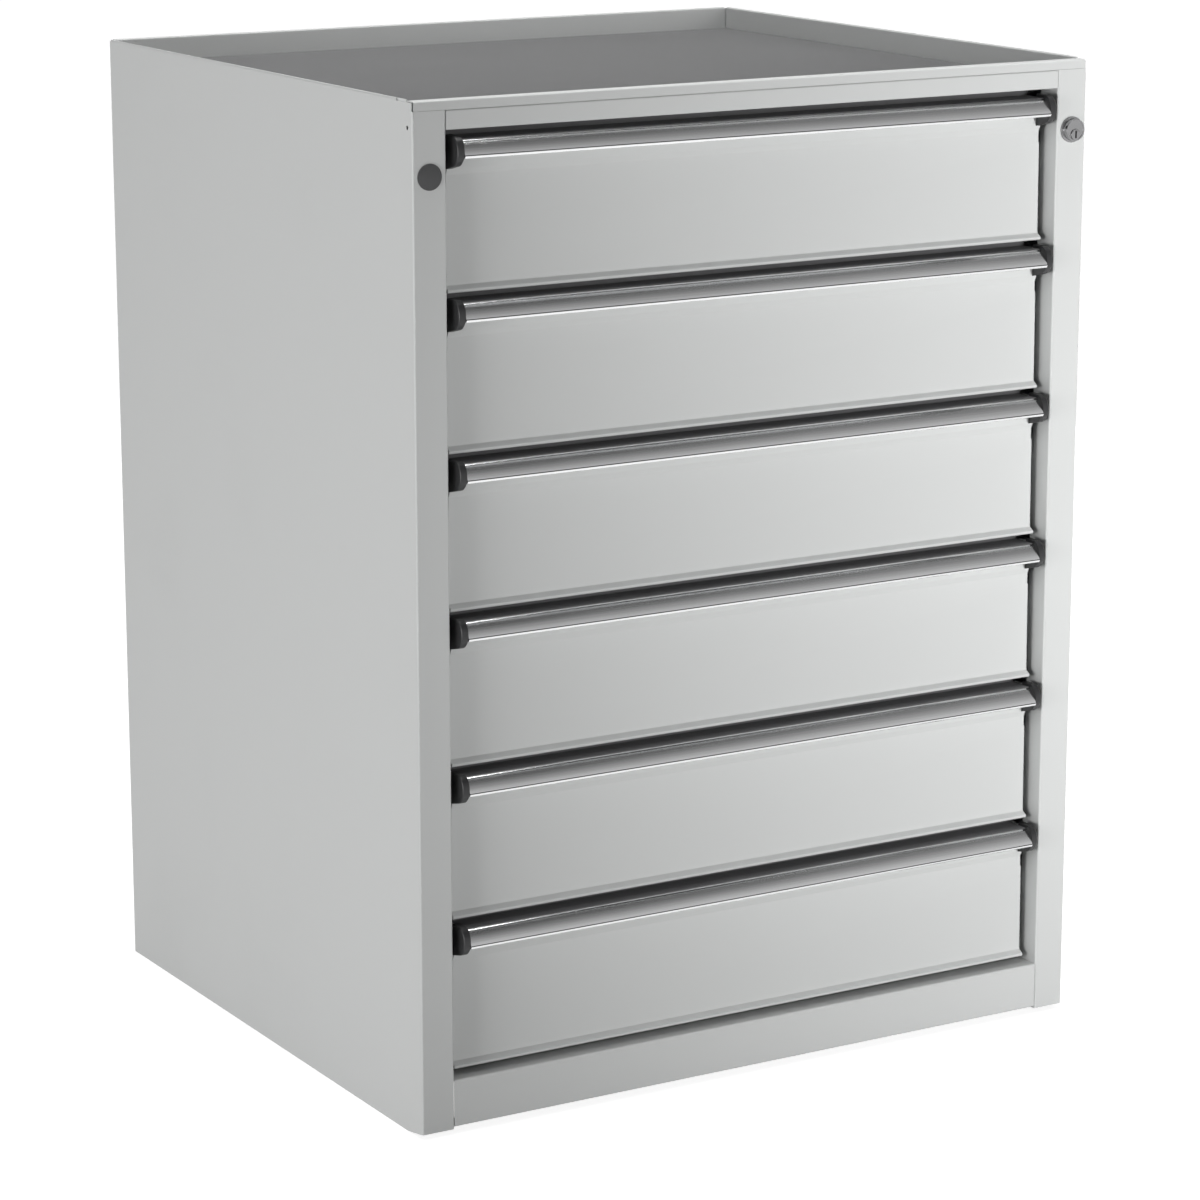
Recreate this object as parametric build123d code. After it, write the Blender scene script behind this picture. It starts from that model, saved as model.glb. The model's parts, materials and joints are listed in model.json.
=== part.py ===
from build123d import *
import math
import os

# Drawer cabinet of folded sheet steel, in millimetres.
# X is the width, +Y runs to the back, +Z is up. The origin is the bottom centre of the whole box.
# In sections, "reach" is measured forward of the posts' front plane and "depth" behind it.

# Carcass
cabinet_width = 756.0
carcass_depth = 666.0
panel_sheet = 1.2
bend_radius = 1.8
stile_width = 34.5
post_leg = 30.0
post_return = 27.5
post_foot = 5.0
post_drop = 2.8
post_hole_diameter = 4.0
post_hole_depth = 9.0
post_hole_drop = 25.4
seam_strip_lap = 16.0
side_rear_flange = 25.0
side_foot_flange = 25.0
fit_gap = 0.2

# Top
rim_rise = 10.3
lip_height = 9.0
lip_drop = 1.3
lip_depth = 13.2
top_rail_height = 18.4
rail_end_gap = 0.4
rail_flange = 25.0
mat_thickness = 3.0
mat_margin = 2.0
mat_corner = 4.0
tray_floor_gap = 0.3
rim_corner_gap = 1.8

# Base
plinth_foot = 7.0
plinth_height = 46.7
plinth_foot_flange = 20.0
plinth_top_flange = 26.0
plinth_to_drawers = 6.3
floor_front = 10.0
floor_side_flange = 22.0

# Drawers
drawer_count = 6
drawer_pitch = 150.0
front_recess = 18.0
front_side_gap = 7.5
front_lip_height = 3.0
front_flare_height = 3.5
front_flare_reach = 5.5
front_lip_return = 14.0
front_flange_depth = 9.0
front_flange_drop = 53.0
front_relief = 1.7
front_joggle_drop = 42.0
front_joggle_height = 6.0
front_joggle_reach = 2.6
front_top_gap = 8.5
front_top_return = 16.0
tray_sheet = 1.0
tray_corner = 2.0
tray_floor_rise = 14.0
tray_wall_drop = 26.0
tray_rim = 6.0
tray_length = 590.0

# Handle
handle_height = 17.4
handle_drop = 25.4
handle_reach = 9.9
handle_top_reach = -2.0
handle_bulge = 2.4
handle_wall = 1.8
handle_leg_drop = 18.0
handle_leg_wall = 1.5
handle_lip_height = 3.8
handle_lip_lean = 1.3
groove_low_share = 0.03
groove_high_share = 0.88
groove_sink = 0.9
label_thickness = 0.7
cap_thickness = 7.0
cap_crown = 3.4
cap_round = 1.4
cap_corner = 5.0
cap_top_reach = 0.0
cap_shoulder_reach = 8.0
cap_shoulder_rise = 16.2
cap_nose_reach = 9.3
cap_nose_rise = 1.4
cap_throat_reach = 1.0
cap_throat_drop = 6.6
cap_chin_drop = 10.8
cap_gap = 0.2

# Runners
runner_height = 45.0
runner_sheet = 1.2
runner_gap = 0.35
runner_centre_rise = 46.0
runner_front = 38.0
cabinet_rail_length = 580.0
mid_rail_inset = 2.0
cabinet_rail_depth = 10.0
mid_rail_depth = 8.8
drawer_rail_depth = 9.6
column_gap = 0.5
column_length = 45.0
front_column_depth = 52.0
rear_column_depth = 540.0
column_top_gap = 1.5
column_slot_width = 6.0
column_slot_height = 20.0
column_slots_per_drawer = 3

# Lock
lock_drop = 70.0
lock_flange_diameter = 25.8
lock_flange_reach = 2.2
lock_nose_diameter = 21.8
lock_nose_reach = 7.8
lock_nose_chamfer = 0.8
lock_body_diameter = 22.0
lock_body_depth = 23.5
lock_hole_gap = 0.2
lock_nut_sides = 6
lock_nut_across = 28.0
lock_nut_thickness = 4.0
barrel_diameter = 11.0
barrel_drop = 4.2
barrel_gap = 0.05
barrel_proud = 0.6
keyway_width = 1.8
keyway_height = 7.6
keyway_depth = 6.0
barrel_square = 6.0
cam_gap = 0.5
cam_thickness = 2.5
cam_half_width = 5.5
crank_radius = 8.5
crank_pin_diameter = 4.4
crank_pin_length = 6.5
lock_turn = 90.0
bar_thickness = 3.0
bar_width = 26.0
bar_inset = 3.5
bar_depth = 29.0
bar_foot_rise = 18.0
bar_head_drop = 10.0
slot_play = 0.5
guide_thickness = 3.0
guide_gap = 0.3
guide_wall = 2.2
guide_low_rise = 50.0
guide_high_drop = 115.0
hook_reach = 12.5
hook_height = 8.0
hook_gap = 3.5
hook_to_catch = 3.0
catch_height = 12.0
catch_width = 11.0
catch_length = 10.0
catch_gap = 1.0
plug_diameter = 24.5
plug_flange = 1.6
plug_chamfer = 0.6
plug_skirt = 6.0
plug_wall = 1.6

# Derived positions
half_width = cabinet_width / 2
opening_half = half_width - stile_width
front_y = handle_reach - (carcass_depth + handle_reach) / 2
panel_inner = half_width - panel_sheet
strip_inner = panel_inner - panel_sheet
plinth_top = plinth_foot + plinth_height
drawers_bottom = plinth_top + plinth_to_drawers
drawers_top = drawers_bottom + drawer_count * drawer_pitch
rail_bottom = drawers_top + lip_drop
lip_bottom = rail_bottom + top_rail_height
lip_top = lip_bottom + lip_height
rim_top = lip_bottom + rim_rise
tray_floor_top = rail_bottom + panel_sheet + tray_floor_gap + panel_sheet
mat_top = tray_floor_top + mat_thickness
floor_top = plinth_top - panel_sheet
back_plane = carcass_depth - panel_sheet
rim_outer = panel_inner - fit_gap
rim_inner = rim_outer - panel_sheet
rear_rim_depth = back_plane - panel_sheet - fit_gap - panel_sheet
column_face = opening_half - column_gap
front_half = opening_half - front_side_gap
sheet_rear_depth = front_recess + panel_sheet
front_sheet_top = drawer_pitch - front_top_gap
front_flange_top = drawer_pitch - front_flange_drop
front_joggle_start = drawer_pitch - front_joggle_drop
tray_wall_top = drawer_pitch - tray_wall_drop
handle_rise = drawer_pitch - handle_drop
runner_half = runner_height / 2
tray_half = column_face - cabinet_rail_depth - runner_sheet - 2 * runner_gap - runner_sheet - runner_gap
lock_x = half_width - stile_width / 2
lock_z = rim_top - lock_drop
barrel_z = lock_z - barrel_drop
crank_drop = crank_radius * math.sin(math.radians(lock_turn / 2))
crank_side = crank_radius * math.cos(math.radians(lock_turn / 2))
bar_outer = half_width - panel_sheet - bar_inset
bar_inner = bar_outer - bar_width
bar_foot = drawers_bottom + bar_foot_rise
bar_head = drawers_top - bar_head_drop
guide_low = drawers_bottom + guide_low_rise
guide_high = drawers_top - guide_high_drop
hook_rise = runner_centre_rise + runner_half + hook_gap
catch_rise = hook_rise + hook_height + hook_to_catch


def block(x0, x1, depth0, depth1, z0, z1):
    """A box between two widths, two depths behind the front plane and two heights."""
    size = Box(x1 - x0, depth1 - depth0, z1 - z0, align=(Align.MIN, Align.MIN, Align.MIN))
    return Pos(x0, front_y + depth0, z0) * size


def sheet(points, side, thickness=panel_sheet, radius=bend_radius):
    """A folded sheet's section: one face follows the points, the other lies a thickness to the side."""
    path = FilletPolyline(*points, radius=radius)
    return make_face(offset(path, amount=thickness, side=side, closed=True).edges())


def upright(section, z0, z1):
    """Stand a section of (x, depth) points up between two heights."""
    return Pos(0, front_y, z0) * extrude(section, amount=z1 - z0)


def along_width(section, half):
    """Run a section of (depth, z) points along the width, half each way."""
    return Pos(0, front_y, 0) * extrude(Plane.YZ * section, amount=half, both=True)


def along_depth(section, depth0, depth1):
    """Run a section of (x, z) points from one depth back to another."""
    return Pos(0, front_y + depth1, 0) * extrude(Plane.XZ * section, amount=depth1 - depth0)


def rod(diameter, x, z, depth0, depth1):
    """A round bar along the depth."""
    return along_depth(Pos(x, z) * Circle(diameter / 2), depth0, depth1)


def left(solid):
    """The mirror image of a right-hand piece."""
    return mirror(solid, about=Plane.YZ)


def pair(solid):
    """A right-hand piece and its mirror image, as two solids."""
    return [left(solid), solid]


def front_post():
    section = sheet(
        [
            (half_width, post_leg),
            (half_width, 0),
            (opening_half, 0),
            (opening_half, post_return),
        ],
        Side.RIGHT,
    )
    post = upright(section, 0, rim_top - post_drop)
    strip_front, strip_rear = post_leg - seam_strip_lap, post_leg + seam_strip_lap
    strip_top = tray_floor_top - panel_sheet - fit_gap
    post += block(strip_inner, panel_inner, strip_front, strip_rear, post_foot, strip_top)
    post -= block(0, panel_inner, 0, post_leg, 0, post_foot)
    toe = make_face(Polyline((0, 0), (0, post_foot), (post_leg, 0), close=True))
    post -= along_width(toe, half_width)
    lip_room = lip_bottom - fit_gap
    post -= block(0, panel_inner, 0, post_leg, lip_room, rim_top)
    post -= block(0, half_width, 0, bend_radius, lip_room, rim_top)
    tray_front = lip_depth - panel_sheet - fit_gap
    post -= block(0, panel_inner, tray_front, post_leg, strip_top, rim_top)
    post -= rod(lock_body_diameter + 2 * lock_hole_gap, lock_x, lock_z, 0, post_leg)
    drill = Cylinder(post_hole_diameter / 2, stile_width, rotation=(0, 90, 0))
    return post - Pos(half_width, front_y + post_hole_depth, rim_top - post_hole_drop) * drill


def side_panel():
    section = sheet(
        [
            (half_width, post_leg),
            (half_width, carcass_depth),
            (half_width - side_rear_flange, carcass_depth),
        ],
        Side.LEFT,
    )
    panel = upright(section, 0, rim_top - panel_sheet - fit_gap)
    foot = half_width - side_foot_flange
    return panel + block(foot, half_width - panel_sheet / 2, post_leg, back_plane + fit_gap, 0, panel_sheet)


def back_panel():
    half = panel_inner - bend_radius
    top = rim_top - panel_sheet - fit_gap
    return block(-half, half, back_plane - panel_sheet, back_plane, panel_sheet + fit_gap, top)


def top_tray():
    section = sheet(
        [
            (0, lip_bottom),
            (0, lip_top),
            (lip_depth, lip_top),
            (lip_depth, tray_floor_top),
            (rear_rim_depth, tray_floor_top),
            (rear_rim_depth, rim_top),
            (carcass_depth, rim_top),
        ],
        Side.RIGHT,
    )
    tray = along_width(section, rim_inner + panel_sheet / 2)
    foot = tray_floor_top - panel_sheet / 2
    rim = sheet([(rim_inner, foot), (rim_inner, rim_top), (half_width, rim_top)], Side.RIGHT)
    wall = along_depth(rim, lip_depth - panel_sheet / 2, carcass_depth - rim_corner_gap)
    wall -= block(rim_outer, half_width, 0, post_leg + fit_gap, tray_floor_top, rim_top)
    tray = tray + wall
    tray = tray + left(wall)
    corner = rim_inner - rim_corner_gap
    gap = block(corner, half_width, rear_rim_depth - fit_gap, carcass_depth, tray_floor_top + bend_radius, rim_top)
    return tray - gap - left(gap)


def ribbed_mat():
    x = rim_inner - mat_margin
    mat = block(-x, x, lip_depth + mat_margin, rear_rim_depth - mat_margin, tray_floor_top, mat_top)
    return fillet(mat.edges().filter_by(Axis.Z), mat_corner)


def top_rail():
    section = sheet(
        [
            (lip_depth - panel_sheet, lip_bottom - fit_gap),
            (0, lip_bottom - fit_gap),
            (0, rail_bottom),
            (rail_flange, rail_bottom),
        ],
        Side.LEFT,
    )
    return along_width(section, opening_half - rail_end_gap)


def plinth_rail():
    section = sheet(
        [
            (plinth_foot_flange, plinth_foot),
            (0, plinth_foot),
            (0, plinth_top),
            (plinth_top_flange, plinth_top),
        ],
        Side.RIGHT,
    )
    return along_width(section, opening_half - rail_end_gap)


def floor_panel():
    rear = back_plane - panel_sheet
    section = sheet(
        [
            (panel_inner, floor_top - floor_side_flange),
            (panel_inner, floor_top),
            (-panel_inner, floor_top),
            (-panel_inner, floor_top - floor_side_flange),
        ],
        Side.LEFT,
    )
    floor = along_depth(section, floor_front, rear)
    notch_depth = post_leg + seam_strip_lap + fit_gap
    notch = block(opening_half - fit_gap, half_width, 0, notch_depth, 0, floor_top)
    return floor - notch - left(notch)


def runner_column(depth):
    z0, z1 = floor_top, rail_bottom - column_top_gap
    section = sheet(
        [
            (panel_inner, depth),
            (column_face, depth),
            (column_face, depth + column_length),
            (panel_inner, depth + column_length),
        ],
        Side.RIGHT,
    )
    column = upright(section, z0, z1)
    middle = depth + column_length / 2
    step = drawer_pitch / column_slots_per_drawer
    for number in range(drawer_count * column_slots_per_drawer):
        z = drawers_bottom + (number + 1 / 2) * step
        x1 = column_face + 2 * panel_sheet
        half = column_slot_width / 2
        tall = column_slot_height / 2
        column -= block(column_face - panel_sheet, x1, middle - half, middle + half, z - tall, z + tall)
    return column


def bar_guide(z):
    near = bar_depth - guide_wall
    far = front_column_depth + panel_sheet / 2
    plate = block(bar_inner - guide_wall, bar_outer + guide_wall, near, far, z, z + guide_thickness)
    rear = bar_depth + bar_thickness + guide_gap
    return plate - block(bar_inner - guide_gap, bar_outer + guide_gap, bar_depth - guide_gap, rear, z, bar_head)


def runner_columns():
    front = runner_column(front_column_depth)
    rear = runner_column(rear_column_depth)
    guided = front + bar_guide(guide_low) + bar_guide(guide_high)
    return [left(front), guided] + pair(rear)


def channel(web, edge, half, side):
    """A runner member's section: web at one width, flanges to another, the given half height."""
    points = [(edge, -half), (web, -half), (web, half), (edge, half)]
    return sheet(points, side, runner_sheet, bend_radius - runner_gap)


def cabinet_rail(base):
    section = channel(column_face, column_face - cabinet_rail_depth, runner_half, Side.LEFT)
    return Pos(0, 0, base + runner_centre_rise) * along_depth(
        section, runner_front, runner_front + cabinet_rail_length
    )


def mid_rail(base):
    web = column_face - runner_sheet - runner_gap
    half = runner_half - runner_sheet - runner_gap
    section = channel(web, web - mid_rail_depth, half, Side.LEFT)
    rear = runner_front + cabinet_rail_length - mid_rail_inset
    return Pos(0, 0, base + runner_centre_rise) * along_depth(section, runner_front, rear)


def drawer_rail(base):
    half = runner_half - 2 * (runner_sheet + runner_gap)
    section = channel(tray_half, tray_half + drawer_rail_depth, half, Side.RIGHT)
    rear = sheet_rear_depth + tray_length
    return Pos(0, 0, base + runner_centre_rise) * along_depth(section, runner_front, rear)


def lock_catch(base):
    near = bar_depth + bar_thickness + catch_gap
    z0 = base + catch_rise
    return block(tray_half, tray_half + catch_width, near, near + catch_length, z0, z0 + catch_height)


def drawer_tray(base):
    front, rear = sheet_rear_depth, sheet_rear_depth + tray_length
    z0, z1 = base + tray_floor_rise, base + tray_wall_top
    tray = block(-tray_half, tray_half, front, rear, z0, z1)
    tray = fillet(tray.edges().filter_by(Axis.Z), tray_corner)
    inner = tray_half - tray_sheet
    tray -= block(-inner, inner, front + tray_sheet, rear - tray_sheet, z0 + tray_sheet, z1)
    lip = inner - tray_rim
    rim = block(-inner, inner, front + tray_sheet, rear - tray_sheet, z1 - tray_sheet, z1)
    rim -= block(-lip, lip, front + tray_sheet, rear - tray_sheet - tray_rim, z1 - tray_sheet, z1)
    return tray + rim


def drawer_front(base):
    lip = front_recess - front_flare_reach
    flare_top = front_lip_height + front_flare_height
    upper = front_recess - front_joggle_reach
    joggle_top = front_joggle_start + front_joggle_height
    section = sheet(
        [
            (lip + front_lip_return, 0),
            (lip, 0),
            (lip, front_lip_height),
            (front_recess, flare_top),
            (front_recess, front_joggle_start),
            (upper, joggle_top),
            (upper, front_sheet_top),
            (upper + front_top_return, front_sheet_top),
        ],
        Side.RIGHT,
        panel_sheet,
        bend_radius - runner_gap,
    )
    panel = along_width(section, front_half)
    relief = front_half - front_relief
    notch = block(relief, front_half, 0, upper + front_top_return, front_flange_top, drawer_pitch)
    panel -= notch + left(notch)
    inner = front_half - panel_sheet
    rear = front_recess + front_flange_depth
    flange = block(inner, front_half, front_recess + panel_sheet / 2, rear, flare_top, front_flange_top)
    return Pos(0, 0, base) * (panel + flange + left(flange))


def face_arc(sink=0):
    """The handle's convex outer face in (depth, height), or a line sunk below it."""
    foot = (-handle_reach, handle_rise + handle_lip_height)
    head = (-handle_top_reach, handle_rise + handle_height)
    face = SagittaArc(foot, head, handle_bulge)
    middle = face.arc_center
    radius = face.radius - sink
    start = math.degrees(math.atan2(head[1] - middle.Y, head[0] - middle.X))
    finish = math.degrees(math.atan2(foot[1] - middle.Y, foot[0] - middle.X))
    return middle, radius, start, finish


def face_band(sink0, sink1, share0, share1):
    """A band that follows the handle's face, between two depths and two shares of its height."""
    middle, outer, head, foot = face_arc(sink0)
    inner = face_arc(sink1)[1]
    low = foot + (head - foot) * share0
    high = foot + (head - foot) * share1

    def at(radius, angle):
        turn = math.radians(angle)
        return (middle.X + radius * math.cos(turn), middle.Y + radius * math.sin(turn))

    mid = (low + high) / 2
    front = ThreePointArc(at(outer, low), at(outer, mid), at(outer, high))
    rear = ThreePointArc(at(inner, high), at(inner, mid), at(inner, low))
    return make_face([front, Line(front @ 1, rear @ 0), rear, Line(rear @ 1, front @ 0)])


def handle(base):
    leg = front_recess - front_joggle_reach
    top = handle_rise + handle_height
    shell = face_band(0, handle_wall, 0, 1)
    nose = handle_rise + handle_lip_height
    lip = Polyline(
        (-handle_reach, nose), (handle_lip_lean - handle_reach, handle_rise),
        (handle_lip_lean + handle_wall - handle_reach, handle_rise), (handle_wall - handle_reach, nose),
        (handle_wall - handle_reach, nose + handle_wall), close=True,
    )
    web = Polyline(
        (leg, top), (-handle_top_reach, top), (-handle_top_reach, top - handle_wall), (leg, top - handle_wall),
        close=True,
    )
    mount = Polyline(
        (leg, top), (leg - handle_leg_wall, top), (leg - handle_leg_wall, top - handle_leg_drop),
        (leg, top - handle_leg_drop), close=True,
    )
    section = shell + make_face(lip) + make_face(web) + make_face(mount)
    section -= face_band(-groove_sink, groove_sink, groove_low_share, groove_high_share)
    return Pos(0, 0, base) * along_width(section, front_half - cap_thickness - cap_gap)


def label_strip(base):
    section = face_band(groove_sink - label_thickness, groove_sink, groove_low_share, groove_high_share)
    return Pos(0, 0, base) * along_width(section, front_half - cap_thickness - cap_gap)


def end_cap(base):
    rear = front_recess - front_joggle_reach
    top = handle_rise + handle_height + cap_crown
    chin = handle_rise - cap_chin_drop
    outline = FilletPolyline(
        (rear, top),
        (-cap_top_reach, top),
        (-cap_shoulder_reach, handle_rise + cap_shoulder_rise),
        (-cap_nose_reach, handle_rise + cap_nose_rise),
        (-cap_throat_reach, handle_rise - cap_throat_drop),
        (rear, chin),
        radius=cap_corner,
    )
    face = make_face([*outline.edges(), Line((rear, chin), (rear, top))])
    plate = extrude(Plane.YZ * face, amount=cap_thickness)
    outer = plate.faces().sort_by(Axis.X)[-1]
    edges = [edge for edge in outer.edges() if edge.center().Y < rear - cap_round]
    plate = fillet(edges, cap_round)
    return Pos(front_half - cap_thickness, front_y, base) * plate


def lock_body():
    flange = rod(lock_flange_diameter, lock_x, lock_z, -lock_flange_reach, 0)
    nose = rod(lock_nose_diameter, lock_x, lock_z, -lock_nose_reach, 0)
    nose = chamfer(nose.faces().sort_by(Axis.Y)[0].edges(), lock_nose_chamfer)
    body = rod(lock_body_diameter, lock_x, lock_z, 0, lock_body_depth)
    bore = barrel_diameter + 2 * barrel_gap
    return flange + nose + body - rod(bore, lock_x, barrel_z, -lock_nose_reach, lock_body_depth)


def lock_nut():
    section = Pos(lock_x, lock_z) * RegularPolygon(
        lock_nut_across / 2, lock_nut_sides, major_radius=False, rotation=180 / lock_nut_sides
    )
    nut = along_depth(section, panel_sheet, panel_sheet + lock_nut_thickness)
    return nut - rod(lock_body_diameter + 2 * barrel_gap, lock_x, lock_z, 0, post_return)


def lock_barrel():
    front = -lock_nose_reach - barrel_proud
    barrel = rod(barrel_diameter, lock_x, barrel_z, front, lock_body_depth + cam_gap)
    tail = Pos(lock_x, barrel_z) * Rectangle(barrel_square, barrel_square)
    end = lock_body_depth + cam_gap + cam_thickness
    barrel += along_depth(tail, lock_body_depth, end)
    slot = Pos(lock_x, barrel_z) * SlotOverall(keyway_height, keyway_width, rotation=90)
    return barrel - along_depth(slot, front, front + keyway_depth)


def lock_cam():
    near = lock_body_depth + cam_gap
    far = near + cam_thickness
    pin_x, pin_z = lock_x - crank_side, barrel_z - crank_drop
    arm = make_hull((Pos(lock_x, barrel_z) * Circle(cam_half_width)).edges()
                    + (Pos(pin_x, pin_z) * Circle(crank_pin_diameter)).edges())
    arm -= Pos(lock_x, barrel_z) * Rectangle(barrel_square, barrel_square)
    return along_depth(arm, near, far) + rod(crank_pin_diameter, pin_x, pin_z, near, far + crank_pin_length)


def lock_bar():
    far = bar_depth + bar_thickness
    bar = block(bar_inner, bar_outer, bar_depth, far, bar_foot, bar_head)
    play = crank_pin_diameter + 2 * slot_play
    run = crank_radius - crank_side
    slot = Pos(lock_x - crank_side - run / 2, barrel_z - crank_drop) * SlotOverall(run + play, play)
    bar -= along_depth(slot, bar_depth, far)
    solids = [bar]
    for number in range(drawer_count):
        z0 = drawers_bottom + number * drawer_pitch + hook_rise
        solids.append(block(bar_inner - hook_reach, bar_inner, bar_depth, far, z0, z0 + hook_height))
    return solids


def blanking_plug():
    flange = rod(plug_diameter, -lock_x, lock_z, -plug_flange, 0)
    flange = chamfer(flange.faces().sort_by(Axis.Y)[0].edges(), plug_chamfer)
    skirt = rod(lock_body_diameter, -lock_x, lock_z, 0, plug_skirt)
    return flange + skirt - rod(lock_body_diameter - 2 * plug_wall, -lock_x, lock_z, 0, plug_skirt)


def write(name, shape):
    solids = shape if isinstance(shape, list) else [shape]
    export_step(Compound(label=name, children=[s.solid() for s in solids]), f"parts/{name}.step")


def main():
    os.makedirs("parts", exist_ok=True)
    panel, post = side_panel(), front_post()
    write("left_side_panel", left(panel))
    write("right_side_panel", panel)
    write("left_front_post", left(post))
    write("right_front_post", post)
    write("back_panel", back_panel())
    write("top_tray", top_tray())
    write("ribbed_mat", ribbed_mat())
    write("top_rail", top_rail())
    write("plinth_rail", plinth_rail())
    write("floor_panel", floor_panel())
    write("runner_columns", runner_columns())
    write("lock_body", lock_body())
    write("lock_nut", lock_nut())
    write("lock_barrel", lock_barrel())
    write("lock_cam", lock_cam())
    write("lock_bar", lock_bar())
    write("blanking_plug", blanking_plug())
    rails = []
    for number in range(1, drawer_count + 1):
        base = drawers_bottom + (drawer_count - number) * drawer_pitch
        rails += pair(cabinet_rail(base))
        write(f"drawer_{number}_tray", drawer_tray(base))
        write(f"drawer_{number}_front", drawer_front(base))
        write(f"drawer_{number}_handle", handle(base))
        write(f"drawer_{number}_label_strip", label_strip(base))
        write(f"drawer_{number}_end_caps", pair(end_cap(base)))
        write(f"drawer_{number}_rails", pair(drawer_rail(base)) + [lock_catch(base)])
        write(f"drawer_{number}_mid_rails", pair(mid_rail(base)))
    write("cabinet_rails", rails)


main()
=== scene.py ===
import json
import math

import bmesh
import bpy
from bpy.props import FloatProperty, FloatVectorProperty, PointerProperty
from mathutils import Matrix, Vector

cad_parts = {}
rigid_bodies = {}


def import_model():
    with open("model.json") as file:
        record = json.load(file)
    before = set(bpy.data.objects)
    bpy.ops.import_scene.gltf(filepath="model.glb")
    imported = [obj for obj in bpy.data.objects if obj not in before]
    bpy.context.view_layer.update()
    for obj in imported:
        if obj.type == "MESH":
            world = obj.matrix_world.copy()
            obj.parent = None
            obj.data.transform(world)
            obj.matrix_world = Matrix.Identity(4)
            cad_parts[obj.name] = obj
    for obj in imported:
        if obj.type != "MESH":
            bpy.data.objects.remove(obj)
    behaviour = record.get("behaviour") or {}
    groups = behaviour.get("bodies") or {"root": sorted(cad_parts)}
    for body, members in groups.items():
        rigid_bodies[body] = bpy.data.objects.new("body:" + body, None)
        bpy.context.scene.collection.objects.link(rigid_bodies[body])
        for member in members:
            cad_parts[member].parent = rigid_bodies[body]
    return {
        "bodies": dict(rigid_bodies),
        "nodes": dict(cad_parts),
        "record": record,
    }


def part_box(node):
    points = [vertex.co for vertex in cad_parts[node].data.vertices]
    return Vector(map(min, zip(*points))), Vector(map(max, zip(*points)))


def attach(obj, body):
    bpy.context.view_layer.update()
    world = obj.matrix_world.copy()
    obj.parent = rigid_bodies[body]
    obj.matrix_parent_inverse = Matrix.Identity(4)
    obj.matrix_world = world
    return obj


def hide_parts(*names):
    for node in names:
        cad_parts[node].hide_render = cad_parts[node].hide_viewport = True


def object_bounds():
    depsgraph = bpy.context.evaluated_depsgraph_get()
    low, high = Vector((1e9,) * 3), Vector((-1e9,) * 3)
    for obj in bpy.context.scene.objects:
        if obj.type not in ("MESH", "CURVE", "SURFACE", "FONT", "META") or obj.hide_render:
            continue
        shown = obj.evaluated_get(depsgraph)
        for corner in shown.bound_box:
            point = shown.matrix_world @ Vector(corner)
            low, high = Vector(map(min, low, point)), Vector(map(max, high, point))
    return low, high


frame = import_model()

bl_info = {
    "name": "Drawer cabinet",
    "version": (1, 0, 0),
    "blender": (4, 5, 0),
    "location": "View3D > Sidebar > Cabinet",
    "description": "Dresses a sheet-steel drawer cabinet's frame with its fittings, finishes and studio",
    "category": "Object",
}

MM = 0.001
NEAR = 0.01 * MM
MERGE = 0.001 * MM
OVERRUN = 1.0 * MM
QUARTER_TURN = math.radians(90)

# A face whose normal has more than this along an axis looks along that axis.
FACING = 0.9

# Edges sharper than these get a bevel, or stay sharp in smooth shading.
BEVEL_SHARP = math.radians(50)
BEVEL_BLUNT = math.radians(30)
SHEET_CREASE = math.radians(25)
MOULDED_CREASE = math.radians(35)
DOMED_CREASE = math.radians(40)
COPLANAR = math.radians(1)

WHITE = (1.0, 1.0, 1.0, 1.0)

CAD_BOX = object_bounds()
DRAWERS = [body for body in frame["bodies"] if body.startswith("drawer_")]
FRONT_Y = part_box("plinth_rail")[0].y
DRAWER_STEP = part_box("drawer_1_front")[0].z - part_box("drawer_2_front")[0].z


def length(name, description, default):
    return FloatProperty(name=name, description=description, default=default, min=0, unit="LENGTH")


def share(name, description, default):
    return FloatProperty(
        name=name, description=description, default=default, min=0, max=1, subtype="FACTOR"
    )


def colour(name, description, default):
    return FloatVectorProperty(
        name=name, description=description, default=default, size=3, min=0, max=1, subtype="COLOR"
    )


def angle(name, description, degrees):
    return FloatProperty(
        name=name, description=description, default=math.radians(degrees), subtype="ANGLE"
    )


def lens_length(name, description, default):
    return FloatProperty(name=name, description=description, default=default, min=1, unit="CAMERA")


def lamp_power(name, description, default):
    return FloatProperty(name=name, description=description, default=default, min=0, unit="POWER")


def brightness(name, description, default):
    return FloatProperty(name=name, description=description, default=default, min=0)


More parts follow.
